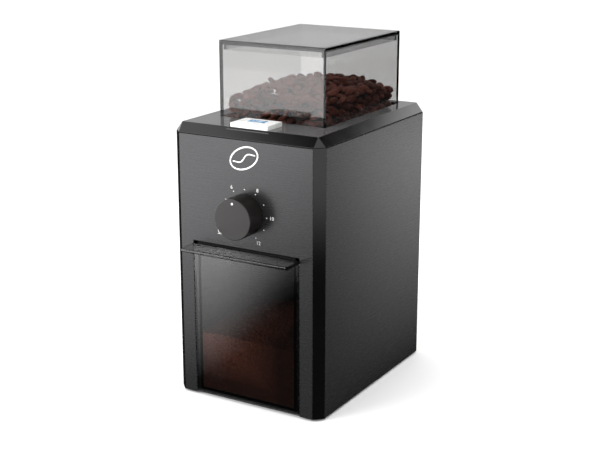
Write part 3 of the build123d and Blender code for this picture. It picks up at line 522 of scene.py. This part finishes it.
# One bean, in millimetres before its random size.
BEAN_RINGS, BEAN_SIDES = 12, 18
BEAN_HALF_LENGTH = 5.0
BEAN_HALF_WIDTH = 3.5
BEAN_BACK = 3.1
BEAN_BELLY = 1.5
CREASE_DEPTH = 1.1
CREASE_WIDTH = 0.62

BEAN_SEED = 11
BEAN_GAP = 5.1 * MM
BEAN_SIZES = (0.74, 0.92)
TOP_TRIES = 12000
TOP_INSET = 3.2 * MM
WALL_TRIES = 22000
WALL_INSET = 3.0 * MM
WALL_CLEARANCE = 0.25 * MM
FLOOR_CLEARANCE = 0.4 * MM


def heap(x, y):
    """Height of the beans over a spot in the hopper: one broad peak, lower in the rear corners."""
    dx, dy = x / HEAP_SPREAD[0], (y - MILL_Y - HEAP_SHIFT) / HEAP_SPREAD[1]
    lumps = noise.noise(Vector((x, y, 0.7)) * LUMP_SCALE) * LUMP_HEIGHT
    corner = (abs(x) / HALF_X * max(0.0, y - MILL_Y) / HALF_Y) ** 2
    return HEAP_EDGE + HEAP_PEAK * math.exp(-0.5 * (dx * dx + dy * dy)) - CORNER_DIP * corner + lumps


def funnel(x, y):
    """Height of the hopper's sloping floor."""
    reach = max(abs(x) / HALF_X, abs(y - MILL_Y) / HALF_Y)
    neck = NECK_RADIUS / math.hypot(HALF_X, HALF_Y)
    return FUNNEL_END + (FUNNEL_TOP - FUNNEL_END) * max(0.0, (reach - neck) / (1 - neck))


def bean_shape():
    """One bean: domed back, flat face and a curved crease. Returns points and faces."""
    points = []
    for i in range(BEAN_RINGS + 1):
        t = math.pi * i / BEAN_RINGS
        for j in range(BEAN_SIDES):
            u = 2 * math.pi * j / BEAN_SIDES
            x, y, z = math.cos(t), math.sin(t) * math.sin(u), math.sin(t) * math.cos(u)
            wide = 1 - 0.06 * x
            px, py = BEAN_HALF_LENGTH * x, BEAN_HALF_WIDTH * y * wide
            pz = BEAN_BACK * z * wide if z > 0 else BEAN_BELLY * z
            if z < 0.1:
                crease = py - 0.35 * math.sin(px * 0.8)
                pz += CREASE_DEPTH * math.exp(-((crease / CREASE_WIDTH) ** 2)) * (1 - x * x)
            points.append(Vector((px, py, pz)) * MM)
    faces = []
    for i in range(BEAN_RINGS):
        here, there = i * BEAN_SIDES, (i + 1) * BEAN_SIDES
        for j in range(BEAN_SIDES):
            k = (j + 1) % BEAN_SIDES
            faces.append((here + j, here + k, there + k, there + j))
    return points, faces


def scatter_beans(rng):
    """Spots over the top of the heap, then down the four walls, none closer than the gap."""
    spots = []

    def offer(p):
        if all((p - q).length > BEAN_GAP for q in spots):
            spots.append(p)

    for _ in range(TOP_TRIES):
        x = rng.uniform(-1, 1) * (HALF_X - TOP_INSET)
        y = MILL_Y + rng.uniform(-1, 1) * (HALF_Y - TOP_INSET)
        offer(Vector((x, y, heap(x, y) - rng.uniform(0.0, 3.0) * MM)))
    for _ in range(WALL_TRIES):
        side = rng.randrange(4)
        run = rng.uniform(-1, 1)
        if side < 2:
            x = (HALF_X - WALL_INSET) * (1 if side else -1)
            y = MILL_Y + run * (HALF_Y - WALL_INSET)
        else:
            x = run * (HALF_X - WALL_INSET)
            y = MILL_Y + (HALF_Y - WALL_INSET) * (1 if side == 3 else -1)
        low = funnel(x, y) + 1.5 * MM
        z = rng.uniform(low, max(low + MM, heap(x, y) - 2 * MM))
        offer(Vector((x, y, z)))
    return spots


def inside_walls(place):
    """The sideways move that brings a bean's points back between the hopper's walls."""
    shift = Vector((0, 0, 0))
    for axis, middle, half in ((0, 0.0, HALF_X), (1, MILL_Y, HALF_Y)):
        low = min(p[axis] for p in place)
        high = max(p[axis] for p in place)
        limit = half - WALL_CLEARANCE
        shift[axis] = max(0.0, middle - limit - low) - max(0.0, high - middle - limit)
    return shift


def fill_hopper():
    """All the beans in one mesh, each sized, turned and roasted at random."""
    rng = random.Random(BEAN_SEED)
    points, faces = bean_shape()
    bm = bmesh.new()
    shade = bm.verts.layers.float.new("roast")
    for spot in scatter_beans(rng):
        size = rng.uniform(*BEAN_SIZES)
        flip = rng.choice((0.0, math.pi)) + rng.gauss(0, 0.5)
        turn = Euler((flip, rng.gauss(0, 0.32), rng.uniform(0, 2 * math.pi))).to_matrix()
        place = [turn @ (p * size) + spot for p in points]
        shift = inside_walls(place)
        place = [p + shift for p in place]
        rise = max(max(funnel(p.x, p.y) + FLOOR_CLEARANCE - p.z for p in place), 0.0)
        roast = rng.random()
        verts = []
        for p in place:
            v = bm.verts.new((p.x, p.y, p.z + rise))
            v[shade] = roast
            verts.append(v)
        for f in faces:
            bm.faces.new([verts[i] for i in f])
    bmesh.ops.remove_doubles(bm, verts=bm.verts, dist=1e-7)
    return bm


bean = Shader("roasted_bean", (0.060, 0.022, 0.012), 0.5, Specular_IOR_Level=0.12)
roast = bean.nodes.new("ShaderNodeAttribute")
roast.attribute_name = "roast"
bean_tone = bean.ramp(
    roast.outputs["Fac"], (0.0, (0.085, 0.024, 0.017)), (1.0, (0.280, 0.096, 0.068))
)
veins = bean.noise(380.0, 5.0, 0.65)
bean.paint(bean.blend(bean.span(veins, 0.0, 0.7, 0.35, 0.8), bean_tone, (0.020, 0.008, 0.005)))
bean.gloss(bean.span(bean.noise(500.0, 3.0), 0.38, 0.52, 0.3, 0.7))
bean.bump(bean.noise(500.0, 3.0, 0.5), 0.05)
piece("coffee_beans", fill_hopper(), bean, "hopper", smooth=True)

HEART_GRID = 24
HEART_INSET = 4.5 * MM
HEART_DEPTH = 7.5 * MM
HEART_LIFT = 2.0 * MM


def shaded_bean_core():
    """A closed block from the funnel's floor to below the heap's surface, clear of the walls."""
    bm = bmesh.new()
    n = HEART_GRID
    layers = []
    for upper in (False, True):
        rows = []
        for i in range(n + 1):
            row = []
            for j in range(n + 1):
                x = (2 * i / n - 1) * (HALF_X - HEART_INSET)
                y = MILL_Y + (2 * j / n - 1) * (HALF_Y - HEART_INSET)
                z = heap(x, y) - HEART_DEPTH if upper else funnel(x, y) + HEART_LIFT
                row.append(bm.verts.new((x, y, z)))
            rows.append(row)
        layers.append(rows)
    for rows in layers:
        for a, b in zip(rows, rows[1:]):
            for j in range(n):
                bm.faces.new((a[j], b[j], b[j + 1], a[j + 1]))
    floor_rows, roof_rows = layers
    rim = [(0, j) for j in range(n)] + [(i, n) for i in range(n)]
    rim += [(n, n - j) for j in range(n)] + [(n - i, 0) for i in range(n)]
    for (a, b), (c, d) in zip(rim, rim[1:] + rim[:1]):
        bm.faces.new((floor_rows[a][b], floor_rows[c][d], roof_rows[c][d], roof_rows[a][b]))
    return bm


# Painted shade: a near-black block inside the heap stands in for the shaded beans deeper in, so that no
# light shows between the beans.
core_shade = Shader("shaded_bean_core", (0.012, 0.005, 0.003), 0.9)
core_shade.paint(core_shade.blend(core_shade.noise(300.0, 3.0), (0.006, 0.003, 0.002), (0.020, 0.008, 0.005)))
core_shade.bump(core_shade.cells(160.0), 1.0)
piece("shaded_bean_core", shaded_bean_core(), core_shade, "hopper", smooth=True)

# ---------------------------------------------------------------- ground coffee
tub_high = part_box("grounds_container")[1]
COFFEE_LEFT, COFFEE_RIGHT = -39.3 * MM, 39.3 * MM
COFFEE_FRONT, COFFEE_BACK = front + 2.7 * MM, tub_high.y - 2.4 * MM
COFFEE_FLOOR = 6.7 * MM
COFFEE_GRID = (110, 96)
COFFEE_LEVELS = 60
# Roughness of its top: noise offset, noise scale and height in metres.
MOUND_NOISE = ((0.3, 90, 0.0012), (1.3, 420, 0.0009), (2.3, 1100, 0.0006))


def mound(x, y):
    """Height of the ground coffee, which climbs towards the back under the outlet."""
    back = (y - COFFEE_FRONT) / (COFFEE_BACK - COFFEE_FRONT)
    height = 0.0505 + 0.010 * back + 0.003 * math.sin(math.pi * back) * math.cos(x * 38)
    for offset, scale, share in MOUND_NOISE:
        height += noise.noise(Vector((x, y, offset)) * scale) * share
    return height


def skin(p):
    """Depth of the grainy surface where the coffee lies against the clear walls."""
    return abs(noise.noise(p * 1300)) * 0.12 * MM


def fill_container():
    """The heap: its rough top, then rows of grainy wall down to a flat underside."""
    bm = bmesh.new()
    nx, ny = COFFEE_GRID
    top = []
    for i in range(nx + 1):
        top.append([])
        for j in range(ny + 1):
            x = COFFEE_LEFT + (COFFEE_RIGHT - COFFEE_LEFT) * i / nx
            y = COFFEE_FRONT + (COFFEE_BACK - COFFEE_FRONT) * j / ny
            top[-1].append(bm.verts.new((x, y, mound(x, y))))
    for i in range(nx):
        for j in range(ny):
            bm.faces.new((top[i][j], top[i + 1][j], top[i + 1][j + 1], top[i][j + 1]))
    ring = [(i, 0) for i in range(nx)] + [(nx, j) for j in range(ny)]
    ring += [(nx - i, ny) for i in range(nx)] + [(0, ny - j) for j in range(ny)]
    brim = [top[i][j] for i, j in ring]
    upper = brim
    for level in range(1, COFFEE_LEVELS + 1):
        lower = []
        for v, (i, j) in zip(brim, ring):
            z = v.co.z + (COFFEE_FLOOR - v.co.z) * level / COFFEE_LEVELS
            p = Vector((v.co.x, v.co.y, z))
            inset = skin(p)
            if i in (0, nx):
                p.x += inset if i == 0 else -inset
            if j in (0, ny):
                p.y += inset if j == 0 else -inset
            lower.append(bm.verts.new(p))
        for k in range(len(ring)):
            m = (k + 1) % len(ring)
            bm.faces.new((upper[k], upper[m], lower[m], lower[k]))
        upper = lower
    bm.faces.new(upper)
    return bm


grounds = Shader("ground_coffee", (0.030, 0.010, 0.006), 0.9, Specular_IOR_Level=0.05)
crumbs = grounds.ramp(
    grounds.noise(1900.0, 3.0, 0.7),
    (0.32, (0.018, 0.006, 0.004)), (0.46, (0.120, 0.038, 0.025)),
    (0.58, (0.250, 0.088, 0.058)), (0.72, (0.500, 0.230, 0.160)),
)
# Painted shade: darker low in the container, on the heap's top and towards the right, where less light
# falls.
painted_shade_low = grounds.span(grounds.axis(grounds.object, "Z"), 0.85, 0.0, 0.014, 0.049)
painted_shade_top = grounds.span(grounds.axis(grounds.normal, "Z"), 0.0, 0.72, 0.3, 0.9)
painted_shade_right = grounds.span(grounds.axis(grounds.object, "X"), 0.0, 0.90, -0.033, 0.027)
painted_shade = grounds.maths("MAXIMUM", grounds.maths("MAXIMUM", painted_shade_low, painted_shade_top), painted_shade_right)
grounds.paint(grounds.blend(painted_shade, crumbs, (0.004, 0.0015, 0.001)))
grounds.bump(grounds.cells(1300.0), 0.45)
piece("ground_coffee", fill_container(), grounds, "container", smooth=False)

# ---------------------------------------------------------------- floor and lights
FLOOR_RADIUS = 14.0

floor_bm = bmesh.new()
bmesh.ops.create_circle(floor_bm, cap_ends=True, segments=96, radius=FLOOR_RADIUS)
floor_mesh = bpy.data.meshes.new("floor")
floor_bm.to_mesh(floor_mesh)
floor_bm.free()
floor = bpy.data.objects.new("floor", floor_mesh)
bpy.context.scene.collection.objects.link(floor)
paper = Shader("white_paper", (0.95, 0.95, 0.95), 1.0, Specular_IOR_Level=0.0)
paper.paint(paper.blend(paper.noise(3.0, 3.0), (0.94, 0.94, 0.94), (0.96, 0.96, 0.96)))
floor_mesh.materials.append(paper.mat)


def softbox(name, place, target, size, radiance):
    """A rectangular light of even brightness, itself never seen or mirrored."""
    light = bpy.data.lights.new(name, "AREA")
    light.shape = "RECTANGLE"
    light.size, light.size_y = size
    light.energy = radiance * math.pi * size[0] * size[1]
    obj = bpy.data.objects.new(name, light)
    bpy.context.scene.collection.objects.link(obj)
    obj.location = place
    obj.rotation_euler = (Vector(target) - Vector(place)).to_track_quat("-Z", "Y").to_euler()
    obj.visible_camera = False
    obj.visible_glossy = False
    obj.visible_transmission = False


softbox("front_left_softbox", (-0.42, -0.60, 0.34), (0, -0.02, 0.20), (0.55, 0.60), 5.2)
softbox("back_right_softbox", (0.42, 0.62, 0.34), (0.03, 0, 0.18), (0.55, 0.60), 2.2)
softbox("overhead_softbox", (-0.25, -0.15, 1.5), (0, 0, 0.1), (1.3, 1.3), 1.6)

# ---------------------------------------------------------------- surroundings for reflections
# The table and the room, lit unevenly as in a studio. Distances are in metres, angles in degrees,
# and a bearing runs round from the front, positive towards the right.
AMBIENT = 0.02
FRONT_LEFT = (-0.050, -0.100)
FRONT_RIGHT = (0.059, -0.071)
RIGHT_SIDE = 0.062
BEHIND_REACH = 0.47

ROOM_RADIUS = 3.1
ROOM_TOP = 89.0
ROOM_RINGS = 60
TURNS = 144
TABLE_RINGS = 50
TABLE_START = 0.02
TABLE_LIFT = 0.0006
CARD_STEPS = 60
CARD_LIFT = 0.0012

MIRRORED = ("camera", "diffuse", "volume_scatter", "shadow")
MIRRORED_NOT_SEEN_THROUGH = (*MIRRORED, "transmission")


def soft(start, end, value):
    """0 at start, 1 at end, eased."""
    t = min(1.0, max(0.0, (value - start) / (end - start)))
    return t * t * (3 - 2 * t)


def sighting(spot, x, y):
    """Bearing and distance of a place on the table, taken from a spot."""
    dx, dy = x - spot[0], y - spot[1]
    return math.degrees(math.atan2(dx, -dy)), math.hypot(dx, dy)


def table_glow(x, y):
    """Brightness of the table as reflections see it."""
    left, reach = sighting(FRONT_LEFT, x, y)
    far = soft(0.92, 1.08, reach)
    window = soft(-13.0 + 9.0 * far, -36.0 + 9.0 * far, left)
    window *= soft(-110.0 + 64.0 * far, -60.0 + 27.0 * far, left)
    window *= 4.3 * (1 - math.exp(-((reach / 0.52) ** 1.2)))
    right, away = sighting(FRONT_RIGHT, x, y)
    front_right = soft(0.34, 0.72, away) * 1.25 * soft(110.0, 85.0, right) * soft(-30.0, -10.0, right)
    out = max(0.0, x - RIGHT_SIDE) / BEHIND_REACH
    behind = 3.1 * out * soft(1.06, 0.96, out) * soft(-0.15, 0.11, y - 0.88 * out)
    return AMBIENT + window + front_right + behind


def room_glow(turn, height):
    """Brightness of the room in a direction, given as a bearing and an angle above the table."""
    window = soft(-22.0, -34.0, turn) * soft(-130.0, -90.0, turn)
    window *= soft(53.9, 50.8, height) * 1.65 + soft(40.0, 20.0, height) * 1.6
    lamp = soft(125.0, 160.0, turn) * soft(200.0, 176.0, turn)
    lamp = lamp * soft(27.5, 25.0, height) * soft(16.5, 20.5, height) * 2.5
    fill = soft(40.0, 60.0, turn) * soft(110.0, 90.0, turn) * soft(30.0, 38.0, height) * 1.4
    rear = soft(176.0, 200.0, turn % 360) * soft(270.0, 240.0, turn % 360)
    rear = rear * soft(60.0, 30.0, height) * 0.62
    return AMBIENT + window + lamp + fill + rear


def glow_card(name, grid, closed, hidden):
    """A surface made of rows of (point, brightness) that shines without lighting anything."""
    bm = bmesh.new()
    layer = bm.verts.layers.float.new("glow")
    rows = []
    for line in grid:
        rows.append([bm.verts.new(point) for point, _ in line])
        for v, (_, glow) in zip(rows[-1], line):
            v[layer] = glow
    for lower, upper in zip(rows, rows[1:]):
        for i in range(len(lower) if closed else len(lower) - 1):
            j = (i + 1) % len(lower)
            bm.faces.new((lower[i], lower[j], upper[j], upper[i]))
    mesh = bpy.data.meshes.new(name)
    bm.to_mesh(mesh)
    bm.free()
    obj = bpy.data.objects.new(name, mesh)
    bpy.context.scene.collection.objects.link(obj)
    mat = bpy.data.materials.new(name)
    mat.use_nodes = True
    nodes = mat.node_tree.nodes
    nodes.remove(nodes["Principled BSDF"])
    value = nodes.new("ShaderNodeAttribute")
    value.attribute_name = "glow"
    lamp = nodes.new("ShaderNodeEmission")
    mat.node_tree.links.new(value.outputs["Fac"], lamp.inputs["Strength"])
    mat.node_tree.links.new(lamp.outputs[0], nodes["Material Output"].inputs["Surface"])
    mat.cycles.emission_sampling = "NONE"
    mesh.materials.append(mat)
    for kind in hidden:
        setattr(obj, "visible_" + kind, False)


def table_rings():
    """Rings on the table round the object, closer together near it."""
    grid = []
    for i in range(TABLE_RINGS):
        radius = TABLE_START + ROOM_RADIUS * (i / (TABLE_RINGS - 1)) ** 2
        line = []
        for j in range(TURNS):
            angle = 2 * math.pi * j / TURNS
            x, y = radius * math.cos(angle), radius * math.sin(angle)
            line.append(((x, y, TABLE_LIFT), table_glow(x, y)))
        grid.append(line)
    return grid


def room_dome():
    """Rings of a dome from the table up, open at its very top."""
    grid = []
    for i in range(ROOM_RINGS):
        height = ROOM_TOP * i / (ROOM_RINGS - 1)
        flat = ROOM_RADIUS * math.cos(math.radians(height))
        up = ROOM_RADIUS * math.sin(math.radians(height))
        line = []
        for j in range(TURNS):
            turn = 360 * j / TURNS - 180
            x, y = flat * math.sin(math.radians(turn)), -flat * math.cos(math.radians(turn))
            line.append(((x, y, TABLE_LIFT + up), room_glow(turn, height)))
        grid.append(line)
    return grid


def table_part(low, high):
    """A rectangle of the table between two corners."""
    grid = []
    for i in range(CARD_STEPS + 1):
        y = low[1] + (high[1] - low[1]) * i / CARD_STEPS
        line = []
        for j in range(CARD_STEPS + 1):
            x = low[0] + (high[0] - low[0]) * j / CARD_STEPS
            line.append(((x, y, CARD_LIFT), table_glow(x, y)))
        grid.append(line)
    return grid


glow_card("table_glow", table_rings(), True, MIRRORED_NOT_SEEN_THROUGH)
glow_card("room_glow", room_dome(), True, MIRRORED_NOT_SEEN_THROUGH)
# The parts of the table that the clear walls mirror are also seen by rays that have crossed a wall.
glow_card("front_table_glow", table_part((-0.95, -1.35), (0.12, -0.0745)), False, MIRRORED)
glow_card("rear_table_glow", table_part((0.12, 0.10), (1.3, 2.6)), False, MIRRORED)

world = bpy.data.worlds.new("studio")
bpy.context.scene.world = world
world.use_nodes = True
background = world.node_tree.nodes["Background"]
background.inputs["Color"].default_value = (1.0, 1.0, 1.0, 1)
background.inputs["Strength"].default_value = 1.08

bpy.context.scene.view_settings.view_transform = "Standard"

# ---------------------------------------------------------------- camera
AZIMUTH = math.radians(30.59)
ELEVATION = math.radians(15.85)
DISTANCE = 0.957
TARGET = Vector((-0.0044, 0.010, 0.1173))

back = Vector(
    (
        math.sin(AZIMUTH) * math.cos(ELEVATION),
        -math.cos(AZIMUTH) * math.cos(ELEVATION),
        math.sin(ELEVATION),
    )
)
lens = bpy.data.cameras.new("camera")
lens.lens = 74.7
lens.sensor_width = 36.0
lens.clip_start, lens.clip_end = 0.02, 40.0
camera = bpy.data.objects.new("camera", lens)
bpy.context.scene.collection.objects.link(camera)
camera.location = TARGET + back * DISTANCE
camera.rotation_euler = (-back).to_track_quat("-Z", "Y").to_euler()
bpy.context.scene.camera = camera
